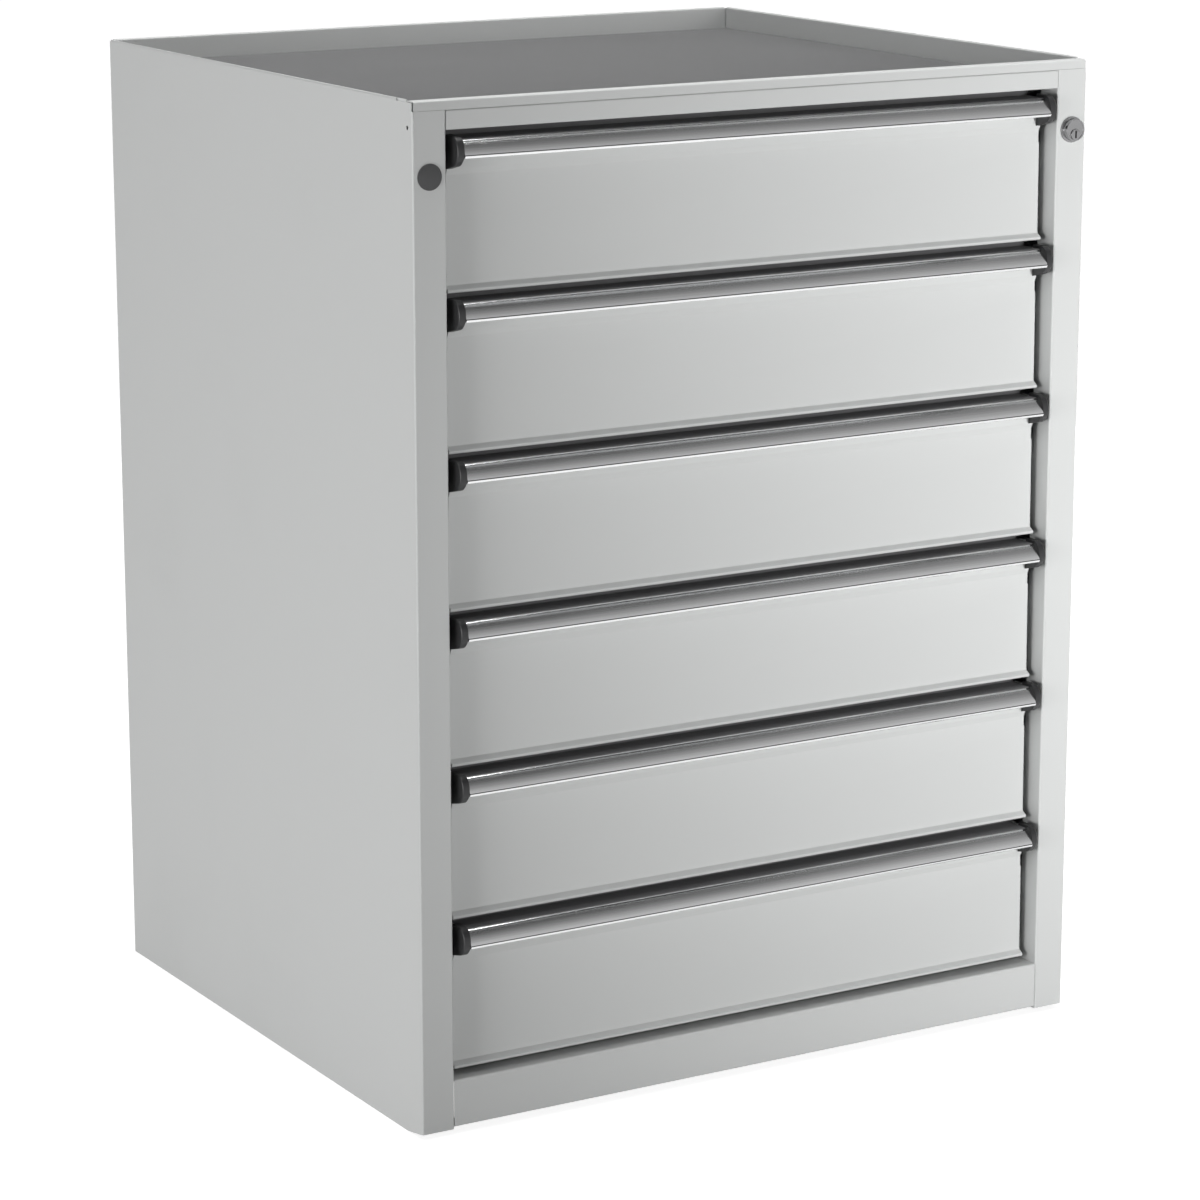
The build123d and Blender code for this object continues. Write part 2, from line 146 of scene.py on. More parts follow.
class CabinetSizes(bpy.types.PropertyGroup):
    """Sizes of the fittings that a maker would change"""

    face_height: length("Handle face", "Height of the handle's curved face above its nose", 14.5 * MM)
    face_bulge: length("Face bulge", "How far the face bows out of its chord", 1.7 * MM)
    face_setback: length("Head setback", "How far the face's head stands behind its nose", 11.9 * MM)
    lip_height: length("Lip height", "Height of the lip below the handle's nose", 2.2 * MM)
    lip_lean: length("Lip lean", "How far the lip's foot stands behind the nose", 1.3 * MM)
    lip_round: length("Lip round", "Radius of the nose and of the lip's edges", 0.6 * MM)
    handle_wall: length("Handle wall", "Thickness of the drawn aluminium", 1.8 * MM)
    leg_wall: length("Leg wall", "Thickness of the leg against the drawer front", 1.5 * MM)
    head_round: length("Head round", "Radius of the handle's top front edge", 0.9 * MM)
    grip_edge: length("Handle edges", "Bevel of the handle section's sharp edges", 0.18 * MM)
    inner_low: share("Inner foot", "Where the wall's inner face starts, as a share of the face", 0.08)
    inner_high: share("Inner head", "Where the wall's inner face ends, as a share of the face", 0.93)
    groove_depth: length("Groove depth", "Depth of the groove for the label", 0.9 * MM)
    groove_low: share("Groove foot", "Where the groove starts, as a share of the face", 0.01)
    groove_high: share("Groove head", "Where the groove ends, as a share of the face", 0.88)
    slot_width: share("Slot width", "Slot under the label's foot, as a share of the face", 0.05)
    slot_depth: length("Slot depth", "Depth of the slot under the label's foot", 1.55 * MM)
    # The bead is painted shade: its black draws the shadow line in the slot under the label's foot.
    shade_bead_sink: length("Bead sink", "How far the black bead lies below the face", 0.25 * MM)
    shade_bead_play: share("Bead play", "Gap at each edge of the bead, as a share of the face", 0.002)
    label_sink: length("Label sink", "How far the label strip lies below the face", 0.2 * MM)
    label_play: share("Label play", "Gap at the label strip's head, as a share of the face", 0.02)
    cap_gap: length("Cap gap", "Gap between an end cap and the handle's end", 0.2 * MM)
    cap_brow: length("Cap brow", "Radius of the top front corner of an end cap's outline", 5.0 * MM)
    cap_corner: length("Cap corners", "Radius of the other corners of an end cap's outline", 12.0 * MM)
    cap_round: length("Cap round", "Rounding of an end cap's outer edge", 1.4 * MM)
    # These size the strip behind each handle, whose dark grey is painted shade for the shadowed gap
    # above it.
    strip_lift: length("Strip lift", "Gap between a dust strip and the handle under it", 0.02 * MM)
    strip_wall: length("Strip wall", "Thickness of a dust strip", 0.6 * MM)
    strip_upstand: length("Strip upstand", "Height of a dust strip's rear edge", 6.8 * MM)
    side_bend: length("Side bend", "Radius of the bend at each side of a drawer front", 1.5 * MM)
    flange_least: length("Least flange", "Bends shorter than this stay sharp", 20.0 * MM)
    rib_pitch: length("Rib pitch", "Distance from rib to rib of the mat", 3.0 * MM)
    rib_height: length("Rib height", "Height of a mat rib above its valley", 0.9 * MM)
    lock_flange: length("Lock flange", "Diameter of the lock's flange", 25.8 * MM)
    lock_flange_reach: length("Flange reach", "How far the flange stands proud of the post", 2.2 * MM)
    lock_nose: length("Lock nose", "Diameter of the lock's nose", 21.8 * MM)
    lock_rim: length("Nose rim", "Width of the raised rim round the lock's face", 1.5 * MM)
    lock_dish: length("Face dish", "Depth of the lock's face below that rim", 0.35 * MM)
    lock_edge: length("Lock edges", "Bevel of the lock housing's edges", 0.45 * MM)
    barrel_play: length("Barrel play", "Gap between the lock's cylinder and its bore", 0.05 * MM)
    barrel_edge: length("Barrel edges", "Bevel of the lock cylinder's edges", 0.35 * MM)
    keyway_width: length("Keyway width", "Width of the slot for the key", 1.8 * MM)
    keyway_height: length("Keyway height", "Height of the slot for the key", 7.6 * MM)
    keyway_depth: length("Keyway depth", "Depth of the slot for the key", 6.0 * MM)
    keyway_edge: length("Keyway edges", "Bevel of the slot for the key", 0.4 * MM)
    plug_setback: length("Plug setback", "How far the plug's rim lies behind its middle", 0.4 * MM)
    plug_rim: length("Plug rim", "Width of the plug's outer step", 1.6 * MM)
    plug_rim_rise: length("Plug rim rise", "Height of the plug's outer step", 0.25 * MM)
    plug_crown: length("Plug crown", "Width of the plug's inner step", 3.0 * MM)
    plug_crown_rise: length("Plug crown rise", "Height of the plug's inner step", 0.12 * MM)
    plug_wall: length("Plug wall", "Thickness of the plug's skirt", 1.6 * MM)
    plug_edge: length("Plug edges", "Bevel of the plug's edges", 0.3 * MM)


class CabinetFinishes(bpy.types.PropertyGroup):
    """Colours of the cabinet's finishes"""

    paint: colour("Paint", "Powder coat of carcass and drawers", (0.610, 0.620, 0.615))
    aluminium: colour("Aluminium", "Drawn aluminium of the handles", (0.80, 0.805, 0.81))
    label: colour("Label strip", "Satin strip in the handle's groove", (0.82, 0.825, 0.83))
    # Black is the end caps' own colour; on the beads the same black is painted shade along the label's
    # foot.
    cap: colour("End caps", "Black moulded plastic of end caps and beads", (0.018, 0.018, 0.019))
    # The strip's dark grey is painted shade: it stands in for the shadow in the gap above each handle.
    strip: colour("Shade strips", "Dark grey moulded plastic behind the handles", (0.115, 0.115, 0.118))
    plug: colour("Blanking plug", "Dark grey moulded plastic", (0.055, 0.055, 0.057))
    rubber: colour("Rubber", "Dark grey rubber of the mat", (0.195, 0.196, 0.198))
    chrome: colour("Chrome", "Chrome plate of the lock", (0.31, 0.31, 0.315))
    zinc: colour("Zinc", "Zinc-plated steel of runners and lock bar", (0.58, 0.59, 0.60))
    floor: colour("Floor", "Pale studio floor", (0.36, 0.36, 0.36))


class CabinetStudio(bpy.types.PropertyGroup):
    """Camera and light"""

    camera_place: FloatVectorProperty(
        name="Camera place", description="Where the camera stands", size=3, unit="LENGTH",
        default=(-2.0711, -3.5203, 1.3884),
    )
    camera_pan: angle("Camera pan", "Turn of the view from the back towards the right", 30.618)
    camera_dip: angle("Camera dip", "How far the view looks down", 13.38)
    camera_lens: lens_length("Lens", "Focal length in millimetres", 120.61)
    camera_sensor: lens_length("Sensor", "Width of the sensor in millimetres", 36.0)
    top_light: brightness("Top light", "Strength of the light from above", 1.34)
    top_softness: angle("Top softness", "Width of the light from above, as an angle", 26.0)
    key_light: lamp_power("Key light", "Power of the tall box in front on the right", 11.4)
    key_spread: angle("Key spread", "Width of the front box's beam", 55.5)
    side_light: lamp_power("Side light", "Power of the left-hand box", 70.0)
    rear_light: lamp_power("Rear light", "Power of the low box behind on the right", 60.0)
    over_light: lamp_power("Over light", "Power of the box over the top", 15.6)
    sky_light: brightness("Surround", "Strength of the studio's walls", 1.0)
    fill_light: share("Fill", "How much of the walls' strength lights matt surfaces", 0.10)
    floor_glow: share("Floor glow", "How bright the floor is by itself to the eye", 0.87)


def deselect():
    if bpy.context.mode != "OBJECT":
        bpy.ops.object.mode_set(mode="OBJECT")
    bpy.ops.object.select_all(action="DESELECT")


def edit_all():
    bpy.ops.object.mode_set(mode="EDIT")
    bpy.ops.mesh.select_all(action="SELECT")


def to_object_mode():
    bpy.ops.object.mode_set(mode="OBJECT")


def named(name):
    """Name the object that was made last."""
    piece = bpy.context.object
    piece.name = name
    piece.data.name = name
    return piece


def settle_place():
    """Move an object's place, turn and size into its mesh."""
    bpy.ops.object.transform_apply(location=True, rotation=True, scale=True)


def pick(kind, test):
    """In edit mode, select only the faces (FACE) or edges (EDGE) that pass a test."""
    bpy.ops.mesh.select_mode(type=kind)
    mesh = bpy.context.object.data
    shape = bmesh.from_edit_mesh(mesh)
    for element in shape.faces if kind == "FACE" else shape.edges:
        element.select_set(test(element))
    shape.select_flush_mode()
    bmesh.update_edit_mesh(mesh)


def mend_normals():
    edit_all()
    bpy.ops.mesh.normals_make_consistent(inside=False)
    to_object_mode()


def apply_modifier(piece, kind, **settings):
    modifier = piece.modifiers.new(kind.title(), kind)
    for setting, value in settings.items():
        setattr(modifier, setting, value)
    bpy.ops.object.modifier_apply(modifier=modifier.name)


def cut(piece, cutter):
    """Take a cutter's shape out of a piece and remove the cutter."""
    deselect()
    bpy.context.view_layer.objects.active = piece
    piece.select_set(True)
    apply_modifier(piece, "BOOLEAN", object=cutter, operation="DIFFERENCE", solver="EXACT")
    bpy.data.objects.remove(cutter)


def soften(piece, width, segments=3, sharpness=BEVEL_SHARP):
    """Bevel the edges that are sharper than an angle."""
    apply_modifier(
        piece, "BEVEL", width=width, segments=segments, limit_method="ANGLE", angle_limit=sharpness
    )


def smooth(crease):
    bpy.ops.object.shade_smooth_by_angle(angle=crease)


def rounded(corners, steps=5):
    """An outline's points, with an arc at each corner (point, radius) that has a radius."""
    points = []
    for index, (corner, radius) in enumerate(corners):
        corner = Vector(corner)
        if radius == 0:
            points.append(corner)
            continue
        before = (Vector(corners[index - 1][0]) - corner).normalized()
        after = (Vector(corners[(index + 1) % len(corners)][0]) - corner).normalized()
        half = before.angle(after) / 2
        middle = corner + (before + after).normalized() * radius / math.sin(half)
        first = corner + before * radius / math.tan(half) - middle
        last = corner + after * radius / math.tan(half) - middle
        for step in range(steps + 1):
            points.append(middle + first.slerp(last, step / steps).normalized() * radius)
    return points


def bar_of(name, outline, x0, x1):
    """Draw an outline of (y, z) points vertex by vertex, fill it and pull it out along the width."""
    deselect()
    bpy.ops.mesh.primitive_plane_add(size=MM, location=(0, 0, 0))
    piece = named(name)
    edit_all()
    bpy.ops.mesh.select_mode(type="VERT")
    bpy.ops.mesh.merge(type="CENTER")
    bpy.ops.transform.translate(value=(x0, *outline[0]))
    for start, end in zip(outline, outline[1:]):
        step = (0, end[0] - start[0], end[1] - start[1])
        bpy.ops.mesh.extrude_vertices_move(TRANSFORM_OT_translate={"value": step})
    bpy.ops.mesh.select_all(action="SELECT")
    bpy.ops.mesh.edge_face_add()
    bpy.ops.mesh.extrude_region_move(TRANSFORM_OT_translate={"value": (x1 - x0, 0, 0)})
    mend_normals()
    return piece


def round_bar(name, radius, centre, y0, y1, sides=96):
    """A cylinder along the depth, from y0 back to y1."""
    deselect()
    bpy.ops.mesh.primitive_cylinder_add(
        vertices=sides, radius=radius, depth=y1 - y0, location=(centre[0], (y0 + y1) / 2, centre[1]),
        rotation=(QUARTER_TURN, 0, 0),
    )
    settle_place()
    return named(name)


def pull_end(towards, inset, reach):
    """In edit mode, inset a round bar's front (-1) or back (1) end and pull it out along the depth."""
    shape = bmesh.from_edit_mesh(bpy.context.object.data)
    ends = [face for face in shape.faces if abs(face.normal.y) > FACING]
    outermost = max(towards * face.calc_center_median().y for face in ends)

    def at_the_end(face):
        place = towards * face.calc_center_median().y
        return face.normal.y * towards > FACING and place > outermost - NEAR

    pick("FACE", at_the_end)
    bpy.ops.mesh.inset(thickness=inset, depth=0)
    bpy.ops.mesh.extrude_region_move(TRANSFORM_OT_translate={"value": (0, towards * reach, 0)})


def middle_of(box):
    """The middle of a box as seen from the front, across and up."""
    low, high = box
    return ((low.x + high.x) / 2, (low.z + high.z) / 2)


def copy_down(piece, name, steps):
    """A copy of a drawer's piece with its own mesh, some drawers further down."""
    twin = piece.copy()
    twin.data = piece.data.copy()
    twin.name = name
    twin.data.name = name
    twin.data.transform(Matrix.Translation((0, 0, -steps * DRAWER_STEP)))
    bpy.context.scene.collection.objects.link(twin)
    return twin


def fit(piece, body, slot, material, *nodes):
    """Give a finished piece its material, its body and the nodes that it stands for."""
    piece.data.materials.clear()
    piece.data.materials.append(material)
    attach(piece, body)
    if nodes:
        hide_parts(*nodes)


def fit_to_drawers(piece, suffix, slot, material, *node_suffixes):
    """Copy the top drawer's piece to every drawer and fit them all."""
    for steps, body in enumerate(DRAWERS):
        twin = copy_down(piece, f"{body}_{suffix}", steps)
        fit(twin, body, slot, material, *(f"{body}_{node_suffix}" for node_suffix in node_suffixes))
    bpy.data.objects.remove(piece)


def add_node(tree, kind, inputs=None, **settings):
    """A node with its settings, its inputs either linked from sockets or set to values."""
    made = tree.nodes.new(kind)
    for setting, value in settings.items():
        setattr(made, setting, value)
    for key, value in (inputs or {}).items():
        if isinstance(value, bpy.types.NodeSocket):
            tree.links.new(value, made.inputs[key])
        else:
            made.inputs[key].default_value = value
    return made


def new_group(name, inputs, outputs):
    """An empty node group with its sockets; returns it, what it is given and what it puts out."""
    tree = bpy.data.node_groups.new(name, "ShaderNodeTree")
    for socket, kind, default in inputs:
        made = tree.interface.new_socket(socket, in_out="INPUT", socket_type=f"NodeSocket{kind}")
        if default is not None:
            made.default_value = default
    for socket, kind in outputs:
        tree.interface.new_socket(socket, in_out="OUTPUT", socket_type=f"NodeSocket{kind}")
    return tree, tree.nodes.new("NodeGroupInput").outputs, tree.nodes.new("NodeGroupOutput").inputs


def place_group(tree, maker, name, inputs):
    """Place a shared node group, which is built when it is first asked for."""
    group = bpy.data.node_groups.get(name) or maker()
    return add_node(tree, "ShaderNodeGroup", inputs, node_tree=group).outputs


def math_node(tree, operation, first, second=0.0, clamp=False):
    inputs = {0: first, 1: second}
    return add_node(tree, "ShaderNodeMath", inputs, operation=operation, use_clamp=clamp).outputs[0]


def swing(tree, value, amount):
    """How far a value lies from its middle of one half, times an amount."""
    return math_node(tree, "MULTIPLY", math_node(tree, "SUBTRACT", value, 0.5), amount)


def noise(tree, vector, **settings):
    inputs = {"Vector": vector}
    inputs.update({name.title(): value for name, value in settings.items()})
    return add_node(tree, "ShaderNodeTexNoise", inputs).outputs[0]


def remap(tree, value, given, wanted):
    """Map a value from one range to another, held at the ends."""
    ranges = {
        "Value": value, "From Min": given[0], "From Max": given[1],
        "To Min": wanted[0], "To Max": wanted[1],
    }
    return add_node(tree, "ShaderNodeMapRange", ranges).outputs[0]


def tint(tree, colour_in, factor):
    """A colour multiplied by a grey factor."""
    channels = {"Red": factor, "Green": factor, "Blue": factor}
    grey = add_node(tree, "ShaderNodeCombineColor", channels).outputs[0]
    mix = add_node(tree, "ShaderNodeMix", {"Factor": 1.0}, data_type="RGBA", blend_type="MULTIPLY")
    tree.links.new(colour_in, mix.inputs["A"])
    tree.links.new(grey, mix.inputs["B"])
    return mix.outputs["Result"]


def orange_peel_group():
    """Fine bumps and faint clouding of a sprayed or moulded surface."""
    tree, given, result = new_group(
        "orange_peel",
        [("Vector", "Vector", None), ("Colour", "Color", (0.5, 0.5, 0.5, 1)),
         ("Grain Scale", "Float", 900.0), ("Clouding", "Float", 0.03),
         ("Roughness", "Float", 0.4), ("Roughness Spread", "Float", 0.06)],
        [("Colour", "Color"), ("Roughness", "Float"), ("Height", "Float")],
    )
    grain = noise(tree, given["Vector"], scale=given["Grain Scale"], detail=3.0)
    cloud = noise(tree, given["Vector"], scale=4.5, detail=4.0)
    fine = swing(tree, grain, given["Clouding"])
    broad = swing(tree, cloud, given["Clouding"])
    factor = math_node(tree, "ADD", math_node(tree, "ADD", fine, broad), 1.0)
    tree.links.new(tint(tree, given["Colour"], factor), result["Colour"])
    gloss = swing(tree, cloud, given["Roughness Spread"])
    tree.links.new(math_node(tree, "ADD", given["Roughness"], gloss), result["Roughness"])
    tree.links.new(grain, result["Height"])
    return tree


def drawn_lines_group():
    """Fine lines left by drawing, rolling or brushing a metal, along the first axis of its vector."""
    tree, given, result = new_group(
        "drawn_lines",
        [("Vector", "Vector", None), ("Line Scale", "Float", 900.0), ("Stretch", "Float", 0.006),
         ("Roughness", "Float", 0.2), ("Roughness Spread", "Float", 0.1)],
        [("Tone", "Float"), ("Roughness", "Float"), ("Height", "Float")],
    )
    stretch = {"X": given["Stretch"], "Y": 1.0, "Z": 1.0}
    scale = add_node(tree, "ShaderNodeCombineXYZ", stretch).outputs[0]
    drawn_out = {0: given["Vector"], 1: scale}
    place = add_node(tree, "ShaderNodeVectorMath", drawn_out, operation="MULTIPLY").outputs[0]
    lines = noise(tree, place, scale=given["Line Scale"], detail=3.0)
    tree.links.new(remap(tree, lines, (0.3, 0.7), (0.94, 1.0)), result["Tone"])
    gloss = swing(tree, lines, given["Roughness Spread"])
    tree.links.new(math_node(tree, "ADD", given["Roughness"], gloss), result["Roughness"])
    tree.links.new(lines, result["Height"])
    return tree


def handling_group():
    """A mask of sparse rub marks from use."""
    tree, given, result = new_group(
        "handling_marks",
        [("Vector", "Vector", None), ("Scale", "Float", 7.0), ("Amount", "Float", 0.5)],
        [("Mask", "Float")],
    )
    patch = noise(tree, given["Vector"], scale=given["Scale"], detail=5.0, distortion=0.6)
    hair = noise(tree, given["Vector"], scale=160.0, detail=2.0, distortion=2.0)
    patches = remap(tree, patch, (0.52, 0.7), (0.0, 1.0))
    hairs = remap(tree, hair, (0.45, 0.65), (0.2, 1.0))
    rubbed = math_node(tree, "MULTIPLY", patches, hairs)
    tree.links.new(math_node(tree, "MULTIPLY", rubbed, given["Amount"]), result["Mask"])
    return tree


def new_material(name):
    material = bpy.data.materials.new(name)
    material.use_nodes = True
    tree = material.node_tree
    shader = tree.nodes["Principled BSDF"]
    place = tree.nodes.new("ShaderNodeTexCoord").outputs["Object"]
    return material, tree, shader, place


def bump(tree, shader, height, strength, distance):
    inputs = {"Height": height, "Strength": strength, "Distance": distance}
    made = add_node(tree, "ShaderNodeBump", inputs)
    tree.links.new(made.outputs["Normal"], shader.inputs["Normal"])


def solid_colour(rgb):
    return (*rgb, 1.0)


def coated(name, rgb, roughness, grain_scale, grain_depth, clouding, marks):
    """Paint, plastic or rubber: orange peel, faint clouding and rub marks that change the gloss."""
    material, tree, shader, place = new_material(name)
    peel = place_group(tree, orange_peel_group, "orange_peel", {
        "Vector": place, "Colour": solid_colour(rgb), "Grain Scale": grain_scale,
        "Clouding": clouding, "Roughness": roughness,
    })
    rub = place_group(tree, handling_group, "handling_marks", {"Vector": place, "Amount": marks})
    rubbed = math_node(tree, "ADD", peel["Roughness"], rub["Mask"], clamp=True)
    tree.links.new(peel["Colour"], shader.inputs["Base Color"])
    tree.links.new(rubbed, shader.inputs["Roughness"])
    bump(tree, shader, peel["Height"], strength=0.35, distance=grain_depth)
    return material


def metal(name, rgb, roughness, line_scale, line_depth, marks, turn=(0, 0, 0)):
    """Bare or plated metal with drawn lines along the width, or along a turned axis."""
    material, tree, shader, place = new_material(name)
    turned = add_node(tree, "ShaderNodeMapping", {"Vector": place, "Rotation": turn}).outputs[0]
    lines = place_group(tree, drawn_lines_group, "drawn_lines", {
        "Vector": turned, "Line Scale": line_scale, "Roughness": roughness,
        "Roughness Spread": roughness / 2,
    })
    rub = place_group(tree, handling_group, "handling_marks", {"Vector": place, "Amount": marks})
    rubbed = math_node(tree, "ADD", lines["Roughness"], rub["Mask"], clamp=True)
    base = add_node(tree, "ShaderNodeRGB")
    base.outputs[0].default_value = solid_colour(rgb)
    tree.links.new(tint(tree, base.outputs[0], lines["Tone"]), shader.inputs["Base Color"])
    tree.links.new(rubbed, shader.inputs["Roughness"])
    shader.inputs["Metallic"].default_value = 1.0
    bump(tree, shader, lines["Height"], strength=0.25, distance=line_depth)
    return material


def powder_coat(rgb):
    return coated(
        "light_grey_powder_coat", rgb, roughness=0.42, grain_scale=1100.0, grain_depth=0.04 * MM,
        clouding=0.02, marks=0.10,
    )


def zinc_plate(name, rgb, turn):
    return metal(
        name, rgb, roughness=0.32, line_scale=500.0, line_depth=0.02 * MM, marks=0.15, turn=turn
    )


class CABINET_OT_paint_steel(bpy.types.Operator):
    """Give the folded sheets their powder coat and the hidden steel its zinc"""

    bl_idname = "cabinet.paint_steel"
    bl_label = "Painted and plated steel"

    def execute(self, context):
        colours = context.scene.cabinet_finishes
        slots = {part["node"]: part["material_slot"] for part in frame["record"]["subparts"]}
        upright_turn = (0, QUARTER_TURN, 0)
        inward_turn = (0, 0, QUARTER_TURN)
        finishes = {
            "carcass_paint": powder_coat(colours.paint),
            "runner_steel": zinc_plate("runner_zinc", colours.zinc, inward_turn),
            "lock_steel": zinc_plate("lock_zinc", colours.zinc, upright_turn),
        }
        finishes["drawer_paint"] = finishes["carcass_paint"]
        for node, piece in frame["nodes"].items():
            if slots[node] in finishes:
                piece.data.materials.clear()
                piece.data.materials.append(finishes[slots[node]])
        return {"FINISHED"}


class CABINET_OT_ribbed_mat(bpy.types.Operator):
    """Model the rubber mat with its fine ribs across the width"""

    bl_idname = "cabinet.ribbed_mat"
    bl_label = "Ribbed mat"

    def execute(self, context):
        sizes = context.scene.cabinet_sizes
        low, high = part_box("ribbed_mat")
        count = round((high.y - low.y) / sizes.rib_pitch)
        pitch = (high.y - low.y) / count
        flank_shares = (0.0, 0.30, 0.42, 0.88, 1.0)
        rise_shares = (0.0, 0.0, 1.0, 1.0, 0.0)
        deselect()
        bpy.ops.mesh.primitive_grid_add(
            x_subdivisions=1, y_subdivisions=len(flank_shares) - 1, size=1,
            location=((low.x + high.x) / 2, low.y + pitch / 2, high.z),
        )
        mat = named("mat")
        mat.scale = (high.x - low.x, pitch, 1)
        settle_place()
        rows = sorted({round(vertex.co.y, 7) for vertex in mat.data.vertices})
        for vertex in mat.data.vertices:
            row = rows.index(round(vertex.co.y, 7))
            vertex.co.y = low.y + pitch * flank_shares[row]
            vertex.co.z = high.z - sizes.rib_height * (1 - rise_shares[row])
        apply_modifier(
            mat, "ARRAY", count=count, use_relative_offset=False, use_constant_offset=True,
            constant_offset_displace=(0, pitch, 0), use_merge_vertices=True, merge_threshold=NEAR,
        )
        edit_all()
        bpy.ops.mesh.extrude_region_move(TRANSFORM_OT_translate={"value": (0, 0, 0)})
        bpy.ops.transform.resize(value=(1, 1, 0), center_override=(0, 0, low.z))
        mend_normals()
        rubber = coated(
            "mat_rubber", context.scene.cabinet_finishes.rubber, roughness=0.62, grain_scale=700.0,
            grain_depth=0.03 * MM, clouding=0.10, marks=0.12,
        )
        fit(mat, "cabinet", "mat_rubber", rubber, "ribbed_mat")
        return {"FINISHED"}


def handle_face(box, sizes):
    """A function that gives a point of the handle's bowed face, by its share from nose to head."""
    foot = Vector((box[0].y, box[1].z - sizes.face_height))
    head = Vector((box[0].y + sizes.face_setback, box[1].z))
    chord = head - foot
    outward = Vector((-chord.y, chord.x)).normalized()
    bulge = sizes.face_bulge
    radius = (chord.length ** 2 / 4 + bulge ** 2) / (2 * bulge)
    middle = (foot + head) / 2 - outward * (radius - bulge)

    def at(place, sink=0.0):
        return middle + (foot - middle).slerp(head - middle, place).normalized() * (radius - sink)

    return at


def run_of(at, start, end, sink, steps=12):
    """Points along the handle's face, or as far as a sink below it, from one share to another."""
    return [at(start + (end - start) * step / steps, sink) for step in range(steps + 1)]


def handle_outline(box, at, sizes):
    """The handle's section: web and head, groove and slot, nose and lip, inner face and leg."""
    top, rear = box[1].z, box[1].y
    low, high = sizes.groove_low, sizes.groove_high
    slot = low + sizes.slot_width
    leg = rear - sizes.leg_wall
    web = top - sizes.handle_wall
    foot = Vector((sizes.lip_lean, -sizes.lip_height)) + at(0.0)
    heel = foot + Vector((sizes.handle_wall, 0))
    edge = sizes.lip_round
    outline = rounded([((rear, top), 0), (at(1.0), sizes.head_round), (at(high), 0)])
    outline += run_of(at, high, slot, sizes.groove_depth)
    outline += [at(slot, sizes.slot_depth), at(low, sizes.slot_depth)]
    lip = [(at(low), 0), (at(0.0), edge), (foot, edge), (heel, edge), (at(0.0, sizes.handle_wall), 0)]
    outline += rounded(lip, steps=4)[:-1]
    outline += run_of(at, sizes.inner_low, sizes.inner_high, sizes.handle_wall)
    outline += [Vector((leg, web)), Vector((leg, box[0].z)), Vector((rear, box[0].z))]
    return outline


class CABINET_OT_handles(bpy.types.Operator):
    """Model the handle section, its label strip and a black bead that is painted shade along the label's
    foot, and copy them to every drawer
    """

    bl_idname = "cabinet.handles"
    bl_label = "Handles and label strips"

    def execute(self, context):
        sizes = context.scene.cabinet_sizes
        colours = context.scene.cabinet_finishes
        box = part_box("drawer_1_handle")
        at = handle_face(box, sizes)
        half = box[1].x
        grip = bar_of("grip", handle_outline(box, at, sizes), -half, half)
        soften(grip, sizes.grip_edge, segments=2)
        smooth(SHEET_CREASE)
        aluminium = metal(
            "drawn_aluminium", colours.aluminium, roughness=0.16, line_scale=700.0,
            line_depth=0.006 * MM, marks=0.05,
        )
        fit_to_drawers(grip, "grip", "handle_aluminium", aluminium, "handle")

        slot = sizes.groove_low + sizes.slot_width
        head = sizes.groove_high - sizes.label_play
        outline = run_of(at, head, slot, sizes.label_sink) + run_of(at, slot, head, sizes.groove_depth)
        strip = bar_of("strip", outline, -half, half)
        smooth(SHEET_CREASE)
        satin = metal(
            "label_strip_satin", colours.label, roughness=0.20, line_scale=1200.0,
            line_depth=0.006 * MM, marks=0.04,
        )
        fit_to_drawers(strip, "label", "label_aluminium", satin, "label_strip")

        # Painted shade: the black bead fills the slot under the label's foot to draw the shadow line
        # there.
        foot, head = sizes.groove_low + sizes.shade_bead_play, slot - sizes.shade_bead_play
        outline = run_of(at, head, foot, sizes.shade_bead_sink, steps=2)
        outline += run_of(at, foot, head, sizes.slot_depth, steps=2)
        shade_bead = bar_of("shade_bead", outline, -half, half)
        black = coated(
            "shade_bead_black", colours.cap, roughness=0.55, grain_scale=1500.0,
            grain_depth=0.02 * MM, clouding=0.10, marks=0.05,
        )
        fit_to_drawers(shade_bead, "label_shade_bead", "cap_plastic", black)
        return {"FINISHED"}


class CABINET_OT_end_caps(bpy.types.Operator):
    """Model the black end cap, mirror it and copy both to every drawer"""

    bl_idname = "cabinet.end_caps"
    bl_label = "Handle end caps"

    def execute(self, context):
        sizes = context.scene.cabinet_sizes
        low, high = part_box("drawer_1_end_caps")
        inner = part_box("drawer_1_handle")[1].x + sizes.cap_gap
        depth, tall = high.y - low.y, high.z - low.z
        brow, bend = sizes.cap_brow, sizes.cap_corner
        # Shares of the cap's depth from the front and of its height, each with a radius.
        corner_shares = (
            (1.0, 1.0, 0), (0.372, 1.0, brow), (0.045, 0.854, bend),
            (-0.008, 0.386, bend), (0.331, 0.133, bend), (1.0, 0.0, 0),
        )
        outline = rounded([
            ((low.y + depth * back, low.z + tall * up), radius) for back, up, radius in corner_shares
        ])
        outline = [Vector((max(point.x, low.y), point.y)) for point in outline]
        cap = bar_of("cap", outline, inner, high.x)

        def outer_edge(edge):
            outside = all(vertex.co.x > high.x - NEAR for vertex in edge.verts)
            return outside and any(vertex.co.y < high.y - NEAR for vertex in edge.verts)

        edit_all()
        pick("EDGE", outer_edge)
        bpy.ops.mesh.bevel(offset=sizes.cap_round, segments=5, affect="EDGES")
        to_object_mode()
        apply_modifier(cap, "MIRROR", use_axis=(True, False, False))
        mend_normals()
        smooth(MOULDED_CREASE)
        plastic = coated(
            "cap_black_moulding", context.scene.cabinet_finishes.cap, roughness=0.40,
            grain_scale=1500.0, grain_depth=0.03 * MM, clouding=0.15, marks=0.10,
        )
        fit_to_drawers(cap, "caps", "cap_plastic", plastic, "end_caps")
        return {"FINISHED"}


